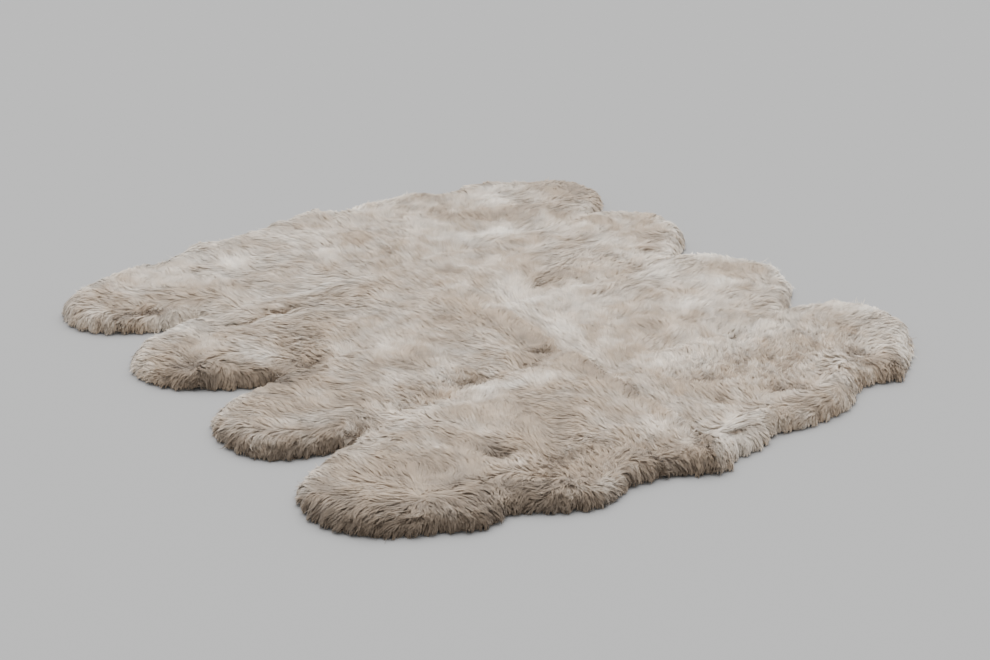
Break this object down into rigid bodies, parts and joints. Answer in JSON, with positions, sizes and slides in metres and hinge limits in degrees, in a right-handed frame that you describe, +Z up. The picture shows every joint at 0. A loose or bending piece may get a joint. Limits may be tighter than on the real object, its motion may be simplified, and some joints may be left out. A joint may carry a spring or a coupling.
{
  "type": "sheepskin rug",
  "caption": "Flat long-wool sheepskin rug of pelts sewn edge to edge, with rounded lobes at both ends, bumps along the sides and a shaggy rim.",
  "frame": {"origin": "middle of the rug's box, on the floor it lies on", "axes": "+Z up out of the wool, +X along the pelts to the right-hand lobes, +Y across the pelts to the far edge"},
  "size_m": [1.928, 2.0834, 0.0665],
  "materials": {
    "wool_left_1": "long brushed natural sheep's wool, matt, with soft tips",
    "wool_left_2": "long brushed natural sheep's wool, matt, with soft tips",
    "wool_left_3": "long brushed natural sheep's wool, matt, with soft tips",
    "wool_left_4": "long brushed natural sheep's wool, matt, with soft tips",
    "wool_right_1": "long brushed natural sheep's wool, matt, with soft tips",
    "wool_right_2": "long brushed natural sheep's wool, matt, with soft tips",
    "wool_right_3": "long brushed natural sheep's wool, matt, with soft tips",
    "wool_right_4": "long brushed natural sheep's wool, matt, with soft tips"
  },
  "bodies": {
    "root": {"pelt_left_1": "wool_left_1", "pelt_left_2": "wool_left_2", "pelt_left_3": "wool_left_3", "pelt_left_4": "wool_left_4", "pelt_right_1": "wool_right_1", "pelt_right_2": "wool_right_2", "pelt_right_3": "wool_right_3", "pelt_right_4": "wool_right_4"}
  },
  "joints": []
}
